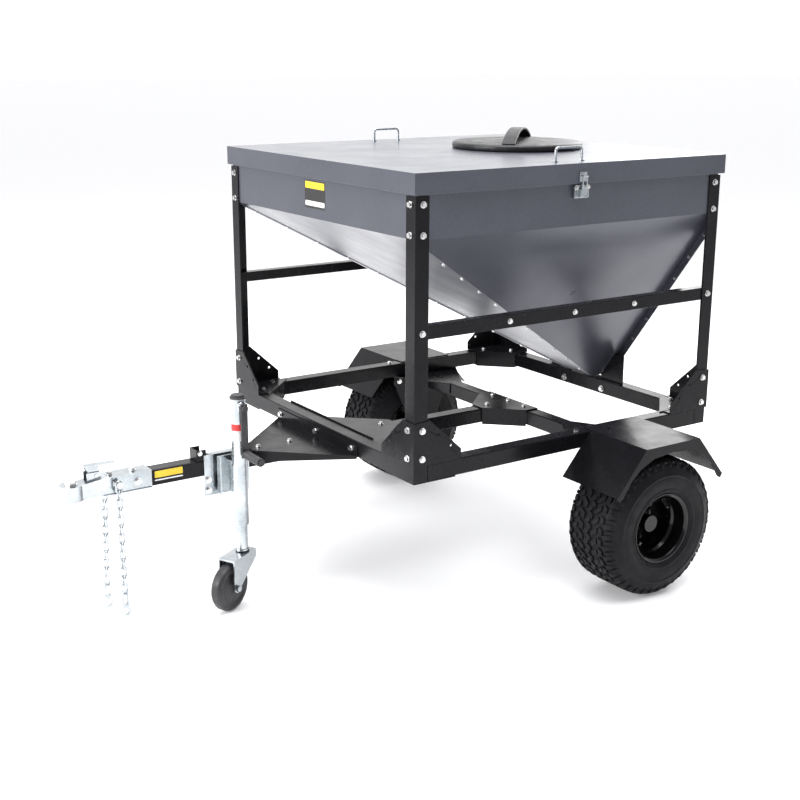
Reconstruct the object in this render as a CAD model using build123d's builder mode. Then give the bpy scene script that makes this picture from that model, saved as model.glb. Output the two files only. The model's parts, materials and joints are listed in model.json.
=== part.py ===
from build123d import *
import os
from math import sin, cos, radians, atan2, degrees, sqrt, pi

# Tow behind hopper cart.  Millimetres, +X towards the hitch, +Y the cart's left, +Z up.
# The ground is z = 0; the middle of the hopper frame is x = 0, y = 0.

os.makedirs("parts", exist_ok=True)

# ---- driving sizes -------------------------------------------------------
XF = 603.0          # half length of the base frame (outer faces)
YF = 565.0          # half width of the base frame (outer faces)
RAIL_W = 50.0       # rail tube width
ZB = 463.0          # underside of the base rails
ZT = 514.0          # top of the base rails
WALL = 3.0          # tube wall
POST_T = 5.0        # post angle thickness
POST_LEG = 48.0     # post angle leg
POST_TOP = 1300.0
Z_BAND = 1178.0     # bottom edge of the hopper's upright band
Z_RIM = 1363.7      # top edge of the hopper band
Z_OUT = 529.0       # hopper's lowest edge
SHEET = 2.0
HX = 598.0          # hopper outer half length
HY = 558.0          # hopper half width inside the side sheets
OUT_X = -530.0      # front edge of the hopper floor
OUT_Y = 71.0        # half width of the hopper floor
LID_Z0, LID_Z1 = 1305.0, 1366.0
LID_X, LID_Y = 612.0, 574.0
WX = -198.0         # wheel axis
WZ = 228.6          # tyre radius
TYRE_R = 228.6
Y_RIM_OUT = 793.0   # outer lip of the wheel rim
Y_RIM_IN = 588.0
BEAM_X0, BEAM_X1 = -223.0, -173.0
TUBE = 50.8
TUBE_Z0 = ZB - TUBE
JX, JY = 935.0, 100.0     # jack column axis
JPZ = 420.0               # jack swivel height
CASTER_A = 26.0           # stored caster heading, degrees
TRAIL = 70.0
CAST_R = 76.0
COVER_X, COVER_Y, COVER_R = -205.0, 0.0, 222.0


XC = 401.0          # middle of the overall length, moved to x = 0 on the way out


def out(p, name):
    q = p.part.moved(Location((-XC, 0, 0)))
    q.label = name
    export_step(q, "parts/%s.step" % name)


def slab(x0, x1, y0, y1, z0, z1, mode=Mode.ADD):
    with Locations(((x0 + x1) / 2, (y0 + y1) / 2, (z0 + z1) / 2)):
        Box(abs(x1 - x0), abs(y1 - y0), abs(z1 - z0), mode=mode)


def rod(p, q, r, mode=Mode.ADD):
    """Round bar from p to q."""
    a, b = Vector(*p), Vector(*q)
    with BuildSketch(Plane(origin=a, z_dir=(b - a).normalized())) as sk:
        Circle(r)
    extrude(sk.sketch, amount=(b - a).length, mode=mode)


def hexrod(p, q, af, mode=Mode.ADD):
    """Hexagonal bar from p to q, af across flats."""
    a, b = Vector(*p), Vector(*q)
    with BuildSketch(Plane(origin=a, z_dir=(b - a).normalized())) as sk:
        RegularPolygon(af / 2, 6, major_radius=False)
    extrude(sk.sketch, amount=(b - a).length, mode=mode)


def ring(p, q, ro, ri):
    """Tube from p to q."""
    a, b = Vector(*p), Vector(*q)
    with BuildSketch(Plane(origin=a, z_dir=(b - a).normalized())) as sk:
        Circle(ro)
        Circle(ri, mode=Mode.SUBTRACT)
    extrude(sk.sketch, amount=(b - a).length)


def plate_xy(pts, z0, z1, mode=Mode.ADD):
    with BuildSketch(Plane.XY.offset(z0)) as sk:
        with BuildLine():
            Polyline(*[(x, y) for x, y in pts], close=True)
        make_face()
    extrude(sk.sketch, amount=z1 - z0, mode=mode)


def plate_xz(pts, y0, y1, mode=Mode.ADD):
    """Profile in X and Z, carried from y0 to y1."""
    with BuildSketch(Plane(origin=(0, y0, 0), x_dir=(1, 0, 0), z_dir=(0, -1, 0))) as sk:
        with BuildLine():
            Polyline(*[(x, z) for x, z in pts], close=True)
        make_face()
    extrude(sk.sketch, amount=-(y1 - y0), mode=mode)


def plate_yz(pts, x0, x1, mode=Mode.ADD):
    """Profile in Y and Z, carried from x0 to x1."""
    with BuildSketch(Plane(origin=(x0, 0, 0), x_dir=(0, 1, 0), z_dir=(1, 0, 0))) as sk:
        with BuildLine():
            Polyline(*[(y, z) for y, z in pts], close=True)
        make_face()
    extrude(sk.sketch, amount=x1 - x0, mode=mode)


def bolt(p, d, head=14.0, h=6.0, washer=True):
    """Bolt head standing on the face at p, pointing along d."""
    v = Vector(*d).normalized()
    a = Vector(*p)
    if washer:
        rod(tuple(a), tuple(a + v * 1.6), head * 0.72)
        a = a + v * 1.6
    hexrod(tuple(a), tuple(a + v * h), head)


SIDES = ((1, "left"), (-1, "right"))
CORNERS = [(sx, sy) for sx in (1, -1) for sy in (1, -1)]

# ======================= base frame =======================================
for name, sx in (("front_rail", 1), ("rear_rail", -1)):
    xa, xb = (XF - RAIL_W, XF) if sx > 0 else (-XF, -XF + RAIL_W)
    with BuildPart() as p:
        slab(xa, xb, -YF, YF, ZB, ZT)
        slab(xa + WALL, xb - WALL, -YF + WALL, YF - WALL, ZB + WALL, ZT - WALL, Mode.SUBTRACT)
        # drain slot under each end
        for sy in (1, -1):
            slab((xa + xb) / 2 - 4, (xa + xb) / 2 + 4, sy * 535 - 8, sy * 535 + 8, ZB - 1, ZB + WALL + 1, Mode.SUBTRACT)
    out(p, name)

for sy, side in SIDES:
    ya, yb = sorted((sy * (YF - RAIL_W), sy * YF))
    with BuildPart() as p:
        slab(-XF + RAIL_W, XF - RAIL_W, ya, yb, ZB, ZT)
        slab(-XF, XF, ya + WALL, yb - WALL, ZB + WALL, ZT - WALL, Mode.SUBTRACT)
    out(p, side + "_rail")

with BuildPart() as p:
    slab(BEAM_X0, BEAM_X1, -543, 543, TUBE_Z0, ZB)
    slab(BEAM_X0 + WALL, BEAM_X1 - WALL, -600, 600, TUBE_Z0 + WALL, ZB - WALL, Mode.SUBTRACT)
out(p, "axle_beam")

with BuildPart() as p:
    slab(BEAM_X1, 1340, -TUBE / 2, TUBE / 2, TUBE_Z0, ZB)
    slab(BEAM_X1 - 5, 1345, -TUBE / 2 + 4, TUBE / 2 - 4, TUBE_Z0 + 4, ZB - 4, Mode.SUBTRACT)
out(p, "tongue_tube")


def web(p, q, z_hi, z_lo_p, z_lo_q, t=4.0):
    """Upright sheet along the line p-q, its lower edge running from z_lo_p to z_lo_q."""
    a, b = Vector(p[0], p[1], 0), Vector(q[0], q[1], 0)
    d = (b - a)
    n = Vector(-d.Y, d.X, 0).normalized()
    with BuildSketch(Plane(origin=a - n * (t / 2), x_dir=d.normalized(), z_dir=n)) as sk:
        # the sketch's second axis is z_dir x x_dir
        s = 1 if n.cross(d.normalized()).Z > 0 else -1
        with BuildLine():
            Polyline((0, s * z_hi), (d.length, s * z_hi), (d.length, s * z_lo_q), (0, s * z_lo_p), close=True)
        make_face()
    extrude(sk.sketch, amount=t)


# triangular plate on the tongue ahead of the front rail, with folded sides and base
with BuildPart() as p:
    plate_xy([(850, -28), (850, 28), (XF, 258), (XF, -258)], ZB, ZB + 4)
    slab(XF, XF + 4, -258, 258, ZB, ZB + 38)
    for sy in (1, -1):
        web((848, sy * 27.9), (XF + 3, sy * 254), ZB + 4, ZB - 34, ZB - 6)
    xb = XF - RAIL_W
    plate_xy([(300, -28), (300, 28), (xb, 262), (xb, -262)], ZB, ZB + 4)
    slab(xb - 4, xb, -262, 262, ZB, ZT + 5)
    for sy in (1, -1):
        web((302, sy * 27.9), (xb - 3, sy * 257), ZB + 4, ZB - 30, ZB - 6)
out(p, "tongue_plates")

with BuildPart() as p:
    plate_xy([(-56, -27), (-56, 27), (BEAM_X1, 137), (BEAM_X0 + 2, 137), (BEAM_X0 + 2, -137), (BEAM_X1, -137)], ZB, ZB + 4)
    for sy in (1, -1):
        web((-58, sy * 27.9), (BEAM_X1 + 2.5, sy * 135), ZB + 4, TUBE_Z0 - 5, TUBE_Z0 - 5)
    for sy in (1, -1):
        for s, xe in ((-1, BEAM_X0), (1, BEAM_X1)):
            plate_xy([(xe, sy * 318), (xe, sy * 560), (xe + s * 120, sy * 560), (xe + s * 120, sy * 520)], ZB - 4, ZB)
            xa, xb = sorted((xe, xe + s * 4))
            ya, yb = sorted((sy * 322, sy * 540))
            slab(xa, xb, ya, yb, ZB - 40, ZB)
out(p, "axle_beam_gussets")


def cxy(sx, sy, a, b):
    """Point set in from corner (sx, sy): a along X and b along Y."""
    return (sx * (XF - a), sy * (YF - b))


def corner_gusset(sx, sy):
    H = 215.0
    plate_xy([cxy(sx, sy, 30, 30), cxy(sx, sy, 30, H - 30), cxy(sx, sy, H - 30, 30)], ZT, ZT + 4)
    plate_xy([cxy(sx, sy, 1, 1), cxy(sx, sy, 1, 152), cxy(sx, sy, 50, H - 50), cxy(sx, sy, H - 50, 50), cxy(sx, sy, 152, 1)], ZB - 4, ZB)
    web(cxy(sx, sy, 51.6, H - 54.6), cxy(sx, sy, H - 54.6, 51.6), ZT + 4, ZB - 7, ZB - 7)


with BuildPart() as p:
    for sx, sy in CORNERS:
        corner_gusset(sx, sy)
out(p, "corner_gussets")

# posts: angles standing on the feet, outer faces flush with the rails
for sx, nm in ((1, "front_posts"), (-1, "rear_posts")):
    with BuildPart() as p:
      for sy in (1, -1):
        o = [cxy(sx, sy, 0, 0), cxy(sx, sy, 0, POST_LEG), cxy(sx, sy, POST_T, POST_LEG), cxy(sx, sy, POST_T, POST_T),
             cxy(sx, sy, POST_LEG, POST_T), cxy(sx, sy, POST_LEG, 0)]
        plate_xy(o, ZT + 4, POST_TOP)
    out(p, nm)

# feet: sheet wrapped round the outside of each post foot, with a tongue lying on the rails
with BuildPart() as p:
    t = 4.0
    for sx, sy in CORNERS:
        prof = [(-t, ZT), (-t, 646), (-t + 58, 650), (168, 546), (168, ZT)]
        xa, xb = sorted((sx * XF, sx * (XF + t)))
        plate_yz([(sy * (YF - s), z) for s, z in prof], xa, xb)
        ya, yb = sorted((sy * YF, sy * (YF + t)))
        plate_xz([(sx * (XF - s), z) for s, z in prof], ya, yb)
        plate_xy([cxy(sx, sy, -1, -1), cxy(sx, sy, -1, 168), cxy(sx, sy, 27, 168), cxy(sx, sy, 27, 27),
                  cxy(sx, sy, 168, 27), cxy(sx, sy, 168, -1)], ZT, ZT + 4)
        for s, z in ((88, 602), (130, 562)):
            rod((sx * (XF + t + 1), sy * (YF - s), z), (sx * (XF - 1), sy * (YF - s), z), 4.2, Mode.SUBTRACT)
            rod((sx * (XF - s), sy * (YF + t + 1), z), (sx * (XF - s), sy * (YF - 1), z), 4.2, Mode.SUBTRACT)
out(p, "post_feet")

with BuildPart() as p:
    for sy in (1, -1):
        y0 = YF - POST_T
        ya, yb = sorted((sy * (y0 - 4), sy * y0))
        slab(-XF + 9, XF - 9, ya, yb, 890, 930)
        ya, yb = sorted((sy * (y0 - 36), sy * y0))
        slab(-XF + 9, XF - 9, ya, yb, 926, 930)
out(p, "side_struts")

# zinc bolts that hold the frame together
with BuildPart() as p:
    for sx, sy in CORNERS:
        for z in (1277, 1191):
            bolt((sx * XF, sy * (YF - 26), z), (sx, 0, 0))
            bolt((sx * (XF - 26), sy * YF, z), (0, sy, 0))
        for z in (622, 536):
            bolt((sx * (XF + 4), sy * (YF - 26), z), (sx, 0, 0))
            bolt((sx * (XF - 26), sy * (YF + 4), z), (0, sy, 0))
        bolt((sx * (XF - 26), sy * YF, 910), (0, sy, 0))
        for a, b in ((42, 120), (120, 42)):
            bolt(tuple(cxy(sx, sy, a, b)) + (ZT + 4,), (0, 0, 1), 12, 5)
    for sy in (1, -1):
        for x in (255, 0, -250):
            bolt((x, sy * (YF - POST_T), 910), (0, sy, 0), 12, 5)
        for x in (-40,):
            bolt((x, sy * 544, ZT), (0, 0, 1), 12, 5)
    for y in (-236, 0, 222):
        bolt((XF + 4, y, 484), (1, 0, 0))
    for x, y in ((818, 0), (705, 0)):
        bolt((x, y, ZB + 4), (0, 0, 1), 12, 5)
    bolt((352, 0, ZB + 4), (0, 0, 1), 12, 5)
    for x, y in ((-195, -90), (-195, 0), (-195, 90), (-100, 0)):
        bolt((x, y, ZB + 4), (0, 0, 1), 12, 5)
    for y in (-104, 104):
        bolt((-XF + RAIL_W, y, 482), (1, 0, 0), 16, 7)
    for sy in (1, -1):
        for x in (-112, -62, 62, 112):
            bolt((WX + x, sy * 543, 434), (0, -sy, 0), 14, 6)
out(p, "frame_bolts")

# ======================= hopper ==========================================
dx = HX - OUT_X
dy = HY - OUT_Y
dz = Z_BAND - Z_OUT
LF = sqrt(dx * dx + dz * dz)      # slope length of the front sheet
LS = sqrt(dy * dy + dz * dz)      # slope length of a side sheet


def half_w(z):
    """Half width of the hopper at height z."""
    return HY - dy * (Z_BAND - z) / dz


def front_x(z):
    return HX - dx * (Z_BAND - z) / dz


with BuildPart() as p:
    slab(HX - SHEET, HX, -HY, HY, Z_BAND, Z_RIM)
    # sloping sheet, hanging inwards from the band
    n_out = Vector(dz, 0, -dx).normalized()
    down = Vector(-dx, 0, -dz).normalized()
    with BuildSketch(Plane(origin=(HX, 0, Z_BAND), x_dir=(0, 1, 0), z_dir=tuple(-n_out))):
        pl = Plane(origin=(HX, 0, Z_BAND), x_dir=(0, 1, 0), z_dir=tuple(-n_out))
        s = 1 if pl.y_dir.dot(down) > 0 else -1
        with BuildLine():
            Polyline((-HY, 0), (HY, 0), (OUT_Y, s * LF), (-OUT_Y, s * LF), close=True)
        make_face()
    extrude(amount=SHEET)
    # floor of the trough, reaching to the rear sheet
    slab(-HX + SHEET, OUT_X - 0.4, -OUT_Y, OUT_Y, Z_OUT + 0.1, Z_OUT + 2)
out(p, "hopper_front_sheet")

GATE_W, GATE_Z0, GATE_Z1 = 56.0, 536.0, 640.0
with BuildPart() as p:
    FL = 40.0
    plate_yz([(-HY, Z_RIM), (HY, Z_RIM), (HY, Z_BAND - 40), (OUT_Y + FL, Z_OUT + 40), (OUT_Y + FL, Z_OUT - 6),
              (-OUT_Y - FL, Z_OUT - 6), (-OUT_Y - FL, Z_OUT + 40), (-HY, Z_BAND - 40)], -HX, -HX + SHEET)
    slab(-HX - 5, -HX + 6, -GATE_W, GATE_W, GATE_Z0, GATE_Z1, Mode.SUBTRACT)
out(p, "hopper_rear_sheet")

for sy, side in SIDES:
    with BuildPart() as p:
        xr = -HX + SHEET
        ya, yb = sorted((sy * HY, sy * (HY + SHEET)))
        slab(xr, HX, ya, yb, Z_BAND - 1.0, Z_RIM)
        n_out = Vector(0, sy * dz, -dy).normalized()
        down = Vector(0, -sy * dy, -dz).normalized()
        pl = Plane(origin=(0, sy * HY, Z_BAND), x_dir=(1, 0, 0), z_dir=tuple(n_out))
        s = 1 if pl.y_dir.dot(down) > 0 else -1
        with BuildSketch(pl):
            with BuildLine():
                Polyline((xr, 0), (HX, 0), (OUT_X, s * LS), (xr, s * LS), close=True)
            make_face()
        extrude(amount=SHEET)
        # seam flange lying under the front sheet's slope, bolted to it
        nf = Vector(dz, 0, -dx).normalized()
        plf = Plane(origin=(HX, 0, Z_BAND), x_dir=(0, 1, 0), z_dir=tuple(nf))
        dn = Vector(-dx, 0, -dz).normalized()
        s = 1 if plf.y_dir.dot(dn) > 0 else -1
        W = 34.0
        with BuildSketch(plf):
            with BuildLine():
                Polyline((sy * (HY - dy * 7 / LF + 0.9), s * 7), (sy * (OUT_Y + 0.9), s * LF), (sy * (OUT_Y - W + 8), s * LF), (sy * (HY - W), s * 19), (sy * (HY - W), s * 7), close=True)
            make_face()
        extrude(amount=SHEET)
        # seam flange in front of the rear sheet
        plate_yz([(sy * HY, Z_BAND), (sy * (half_w(Z_BAND - 44) + 32), Z_BAND - 44), (sy * (OUT_Y + 38), Z_OUT + 4), (sy * OUT_Y, Z_OUT)],
                 xr, xr + SHEET)
    out(p, "hopper_%s_sheet" % side)

# seam bolts
with BuildPart() as p:
    nf = Vector(dz, 0, -dx).normalized()
    for sy in (1, -1):
        for k in range(11):
            t = 0.055 + k * 0.088
            base = Vector(HX - dx * t, sy * (HY - dy * t - 17.0), Z_BAND - dz * t) + nf * SHEET
            bolt(tuple(base), tuple(nf), 10, 4, washer=False)
        for k in range(7):
            z = Z_BAND - 80 - k * 82
            bolt((-HX + 2 * SHEET, sy * (half_w(z) + 22), z), (1, 0, 0), 10, 4, washer=False)
        for x in (-20, 24):
            bolt((x, sy * (HY + SHEET + 12), 1294), (0, sy, 0), 11, 5)
out(p, "hopper_bolts")

# brackets that stand on the rear rail and hold the hopper's low end
with BuildPart() as p:
    for sy in (1, -1):
        w0 = half_w(532) + 6
        plate_yz([(sy * (OUT_Y + 12), ZT), (sy * (OUT_Y + 12), 532), (sy * (half_w(622) + 7), 622), (sy * 197, 622), (sy * 197, ZT)], -570, -566)
        ya, yb = sorted((sy * (OUT_Y + 12), sy * 197))
        slab(-570, -556, ya, yb, ZT, ZT + 3)
out(p, "hopper_rear_brackets")

# slide gate behind the rear sheet, its guides and the spout
with BuildPart() as p:
    for sy in (1, -1):
        ya, yb = sorted((sy * 69.5, sy * 86))
        slab(-HX - 6, -HX, ya, yb, 531, 780)
        ya, yb = sorted((sy * 62, sy * 86))
        slab(-HX - 8.5, -HX - 6, ya, yb, 531, 780)
out(p, "gate_guides")

with BuildPart() as p:
    slab(-HX - 4.5, -HX - 1.5, -69, 69, 532.5, 668)
    # folded pull along its top
    slab(-HX - 30, -HX - 1.5, -45, 45, 665, 668)
    slab(-HX - 30, -HX - 27, -45, 45, 652, 668)
out(p, "slide_gate")

with BuildPart() as p:
    # trough that carries the load over the rear rail
    plate_xz([(-HX - 9, 527), (-HX - 9, 530), (-670, 512), (-670, 509)], -58, 58)
    for sy in (1, -1):
        ya, yb = sorted((sy * 56, sy * 59))
        plate_xz([(-HX - 9, 527), (-HX - 9, 585), (-670, 540), (-670, 509)], ya, yb)
        ya, yb = sorted((sy * 56, sy * 60))
    # neck under the guides and a flange against the rear sheet
    slab(-HX - 9, -HX, -58, 58, 526, 530)
out(p, "discharge_spout")

# ======================= lid =============================================
with BuildPart() as p:
    slab(-LID_X, LID_X, -LID_Y, LID_Y, LID_Z0, LID_Z1)
    slab(-LID_X + 2, LID_X - 2, -LID_Y + 2, LID_Y - 2, LID_Z0 - 1, LID_Z1 - 2, Mode.SUBTRACT)
    with BuildSketch(Plane.XY.offset(LID_Z1 - 5)):
        with Locations((COVER_X, COVER_Y)):
            Circle(200)
    extrude(amount=10, mode=Mode.SUBTRACT)
out(p, "lid")

with BuildPart() as p:
    ring((COVER_X, COVER_Y, LID_Z1 - 10), (COVER_X, COVER_Y, LID_Z1 + 14), 199.8, 196)
    ring((COVER_X, COVER_Y, LID_Z1), (COVER_X, COVER_Y, LID_Z1 + 3), 203.2, 199)
out(p, "fill_collar")

with BuildPart() as p:
    with BuildSketch(Plane(origin=(COVER_X, COVER_Y, 0), x_dir=(1, 0, 0), z_dir=(0, -1, 0))):
        with BuildLine():
            Polyline((0, LID_Z1 + 15), (204, LID_Z1 + 15), (204, LID_Z1 + 3.5), (214, LID_Z1 + 0.5), (222, LID_Z1 + 4), (222, LID_Z1 + 17),
                     (216, LID_Z1 + 22), (150, LID_Z1 + 27), (0, LID_Z1 + 29), close=True)
        make_face()
    revolve(axis=Axis((COVER_X, COVER_Y, 0), (0, 0, 1)))
out(p, "fill_cover")

with BuildPart() as p:
    # broad strap arched over the cover
    zt = LID_Z1 + 29
    d = Vector(cos(radians(43)), sin(radians(43)), 0)
    with BuildSketch(Plane(origin=(COVER_X, COVER_Y, zt - 4), x_dir=tuple(d), z_dir=tuple(Vector(0, 0, 1).cross(d)))) as sk:
        pl = Plane(origin=(COVER_X, COVER_Y, zt - 4), x_dir=tuple(d), z_dir=tuple(Vector(0, 0, 1).cross(d)))
        s = 1 if pl.y_dir.Z > 0 else -1
        with BuildLine():
            a = ThreePointArc((-203, s * 1.5), (0, s * 43), (203, s * 1.5))
            Line(a @ 1, (200, s * -0.6))
            Line((200, s * -0.6), (186, s * -0.6))
            c2 = ThreePointArc((186, s * -0.6), (0, s * 36), (-186, s * -0.6))
            Line(c2 @ 1, (-200, s * -0.6))
            Line((-200, s * -0.6), a @ 0)
        make_face()
    extrude(amount=22, both=True)
out(p, "cover_handle")

# wire lifting handles near the left and right edges
with BuildPart() as p:
    for sy in (1, -1):
        y0 = sy * 505
        pts = [(-52, y0), (52, y0)]
        zb = LID_Z1
        ztop = LID_Z1 + 42
        for x, _ in pts:
            rod((x, y0, zb), (x, y0, ztop - 10), 4)
            rod((x, y0, zb), (x, y0, zb + 3), 9)
        rod((-42, y0, ztop), (42, y0, ztop), 4)
        for s in (1, -1):
            with BuildLine(Plane(origin=(s * 42, y0, ztop - 10), x_dir=(s, 0, 0), z_dir=(0, -s, 0))) as ln:
                JernArc((0, 10), (1, 0), 10, -90)
            with BuildSketch(Plane(origin=ln.line @ 0, z_dir=ln.line % 0)):
                Circle(4)
            sweep(path=ln.line)
out(p, "lid_handles")

# side latches: base plate on the band, over-centre lever, keeper on the lid's skirt
with BuildPart() as p:
    for sy in (1, -1):
        ya, yb = sorted((sy * (HY + SHEET), sy * (HY + SHEET + 12.0)))
        slab(-26, 30, ya, yb, 1262, 1301)
        for x in (-12, 16):
            ya, yb = sorted((sy * (HY + SHEET + 12), sy * (HY + SHEET + 26)))
            slab(x - 2, x + 2, ya, yb, 1266, 1288)
out(p, "latch_bases")

with BuildPart() as p:
    for sy in (1, -1):
        ya, yb = sorted((sy * LID_Y, sy * (LID_Y + 3)))
        slab(-12, 16, ya, yb, 1312, 1340)
        ya, yb = sorted((sy * (LID_Y + 3), sy * (LID_Y + 10)))
        slab(-8, 12, ya, yb, 1334, 1337)
out(p, "latch_keepers")

LPY, LPZ = HY + SHEET + 20, 1274.0
for sy, side in SIDES:
    with BuildPart() as p:
        rod((-9.6, sy * LPY, LPZ), (13.6, sy * LPY, LPZ), 3.5)
        # lever plate above its pivot, and the lug that joins them
        ya, yb = sorted((sy * (LPY + 2.5), sy * (LPY + 5.5)))
        slab(-9, 13, ya, yb, 1269.8, 1297)
        ya, yb = sorted((sy * (LPY - 1), sy * (LPY + 3)))
        slab(-9, 13, ya, yb, 1271, 1277)
        # claw wires up to the keeper
        for x in (-6, 10):
            rod((x, sy * (LPY + 4), 1291), (x, sy * (LPY + 7), 1328), 1.8)
        rod((-8, sy * (LPY + 7), 1328), (12, sy * (LPY + 7), 1328), 2.3)
    out(p, "latch_lever_" + side)

# ======================= fenders =========================================
with BuildPart() as p:
    for sy in (1, -1):
        t = 3.0
        zt = ZT + t
        xm = WX
        outer = [(xm + 228, 380), (xm + 114, zt), (xm - 114, zt), (xm - 228, 380)]
        inner = [(xm - 228 + 3.9, 380), (xm - 112.6, zt - t), (xm + 112.6, zt - t), (xm + 228 - 3.9, 380)]
        ya, yb = sorted((sy * (YF + 0.5), sy * 820))
        plate_xz(outer + inner, ya, yb)
        # tongue lying on the rail
        ya, yb = sorted((sy * 528, sy * (YF + 1)))
        slab(xm - 112, xm + 112, ya, yb, ZT, zt)
        # outer skirt with the wheel arch cut away
        ya, yb = sorted((sy * 817, sy * 820))
        skirt = [(xm + 228, 380), (xm + 114, zt), (xm - 114, zt), (xm - 228, 380), (xm - 219, 366), (xm - 205, 374)]
        arch = [(xm - 175, 420), (xm - 135, 457), (xm - 80, 482), (xm, 490), (xm + 80, 482), (xm + 135, 457), (xm + 175, 420), (xm + 205, 374), (xm + 219, 366)]
        plate_xz(skirt + arch, ya, yb)
out(p, "fenders")

# ======================= running gear ====================================
with BuildPart() as p:
    for sy in (1, -1):
        ya, yb = sorted((sy * 543, sy * 553))
        plate_xz([(WX + 130, ZB - 4), (WX - 130, ZB - 4), (WX - 130, 420), (WX - 36, 200), (WX + 36, 200), (WX + 130, 420)], ya, yb)
        rod((WX, sy * 543, WZ), (WX, sy * 590, WZ), 22)
        # welded spindle, its thread carrying the castle nut
        rod((WX, sy * 588, WZ), (WX, sy * 718, WZ), 12.5)
        hexrod((WX, sy * 698, WZ), (WX, sy * 711, WZ), 34)
out(p, "axle_hangers")

with BuildPart() as p:
    for sy in (1, -1):
        for y in (618, 682):
            ring((WX, sy * y, WZ), (WX, sy * (y + 15), WZ), 23.45, 12.55)
out(p, "wheel_bearings")

for sy, side in SIDES:
    with BuildPart() as p:
        # hub barrel and stud flange
        ring((WX, sy * 612, WZ), (WX, sy * 700, WZ), 30, 23.5)
        ring((WX, sy * 655, WZ), (WX, sy * 663, WZ), 66, 29)
        ring((WX, sy * 612, WZ), (WX, sy * 616, WZ), 30, 14.5)
        rod((WX, sy * 700, WZ), (WX, sy * 742, WZ), 27)
        rod((WX, sy * 700, WZ), (WX, sy * 739, WZ), 24.5, Mode.SUBTRACT)
    out(p, side + "_hub")

    # rim: barrel with two lips and a deep set disc
    with BuildPart() as p:
        yi, yo = Y_RIM_IN, Y_RIM_OUT
        prof = [(114, yi), (114, yi + 4), (104, yi + 10), (103.5, yi + 45), (92, yi + 60), (92, yo - 60), (103.5, yo - 45), (104, yo - 10), (114, yo - 4), (114, yo),
                (111, yo), (100.5, yo - 8), (100.5, yo - 44), (89, yo - 59), (89, 671), (68, 671), (64, 667), (30.6, 667), (30.6, 663), (66, 663), (70, 667), (89, 667),
                (89, yi + 59), (100.5, yi + 44), (100.5, yi + 8), (111, yi)]
        with BuildSketch(Plane(origin=(WX, 0, WZ), x_dir=(1, 0, 0), z_dir=(0, 0, 1))):
            with BuildLine():
                Polyline(*[(r, sy * y) for r, y in prof], close=True)
            make_face()
        revolve(axis=Axis((WX, 0, WZ), (0, 1, 0)))
        for k in range(8):
            a = radians(45 * k + 22.5)
            cx, cz = WX + 76 * cos(a), WZ + 76 * sin(a)
            rod((cx, sy * 655, cz), (cx, sy * 680, cz), 7, Mode.SUBTRACT)
        for k in range(4):
            a = radians(90 * k + 45)
            cx, cz = WX + 50 * cos(a), WZ + 50 * sin(a)
            rod((cx, sy * 660, cz), (cx, sy * 676, cz), 6.5, Mode.SUBTRACT)
    out(p, side + "_rim")

    with BuildPart() as p:
        for k in range(4):
            a = radians(90 * k + 45)
            cx, cz = WX + 50 * cos(a), WZ + 50 * sin(a)
            rod((cx, sy * 663.1, cz), (cx, sy * 684, cz), 6)
            hexrod((cx, sy * 667.1, cz), (cx, sy * 680, cz), 19)
    out(p, side + "_lug_nuts")

    with BuildPart() as p:
        prof = [(104.3, 598.6), (104.3, 616), (117, 622), (150, 610), (185, 606), (208, 612), (216, 624), (219, 660), (219, 721), (216, 757), (208, 769),
                (185, 775), (150, 771), (117, 759), (104.3, 765), (104.3, 782.4), (114.6, 788.4), (117, 795), (140, 803), (172, 803), (200, 795), (221, 782), (227.5, 770),
                (228.6, 735), (228.6, 646), (227.5, 611), (221, 599), (200, 586), (172, 578), (140, 578), (117, 586), (114.6, 592.6)]
        with BuildSketch(Plane(origin=(WX, 0, WZ), x_dir=(1, 0, 0), z_dir=(0, 0, 1))):
            with BuildLine():
                Polyline(*[(r, sy * y) for r, y in prof], close=True)
            make_face()
        revolve(axis=Axis((WX, 0, WZ), (0, 1, 0)))
    out(p, side + "_tyre")

# ======================= coupler =========================================
CN = 1436.0         # ball centre
CHAIN_X = {1: 1307.0, -1: 1318.0}
CZ = 428.0
with BuildPart() as p:
    zt = ZB + 4.2
    # channel over the tube
    slab(1195, 1345, -29.6, 29.6, ZB - 49, zt)
    slab(1190, 1346, -25.6, 25.6, ZB - 60, ZB + 0.2, Mode.SUBTRACT)
    # tapering nose
    with BuildSketch(Plane.YZ.offset(1343)):
        with Locations((0, (zt + ZB - 49) / 2)):
            Rectangle(59.2, zt - ZB + 49)
    with BuildSketch(Plane.YZ.offset(1425)):
        with Locations((0, 433)):
            Rectangle(50, 44)
    loft()
    rod((CN, 0, 409), (CN, 0, 456.5), 36)
    with BuildSketch(Plane(origin=(CN, 0, 0), x_dir=(1, 0, 0), z_dir=(0, -1, 0))):
        with BuildLine():
            Polyline((0, 400), (27, 400), (27, 428), (24, 438), (14, 446), (0, 449), close=True)
        make_face()
    revolve(axis=Axis((CN, 0, 0), (0, 0, 1)), mode=Mode.SUBTRACT)
    # hollow behind the socket for the clamp
    slab(1344, 1420, -17, 17, 400, 436, Mode.SUBTRACT)
    slab(1352, 1376, -5, 5, 430, 480, Mode.SUBTRACT)
    # lips along the lower edges
    for sy in (1, -1):
        ya, yb = sorted((sy * 25.6, sy * 34))
        slab(1195, 1350, ya, yb, ZB - 52, ZB - 48.5)
        # ears for the latch lever
        ya, yb = sorted((sy * 13, sy * 16))
        slab(1350, 1392, ya, yb, 450, 486)
    rod((1364, -20, 476), (1364, 20, 476), 4.06, Mode.SUBTRACT)
out(p, "coupler_body")

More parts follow.
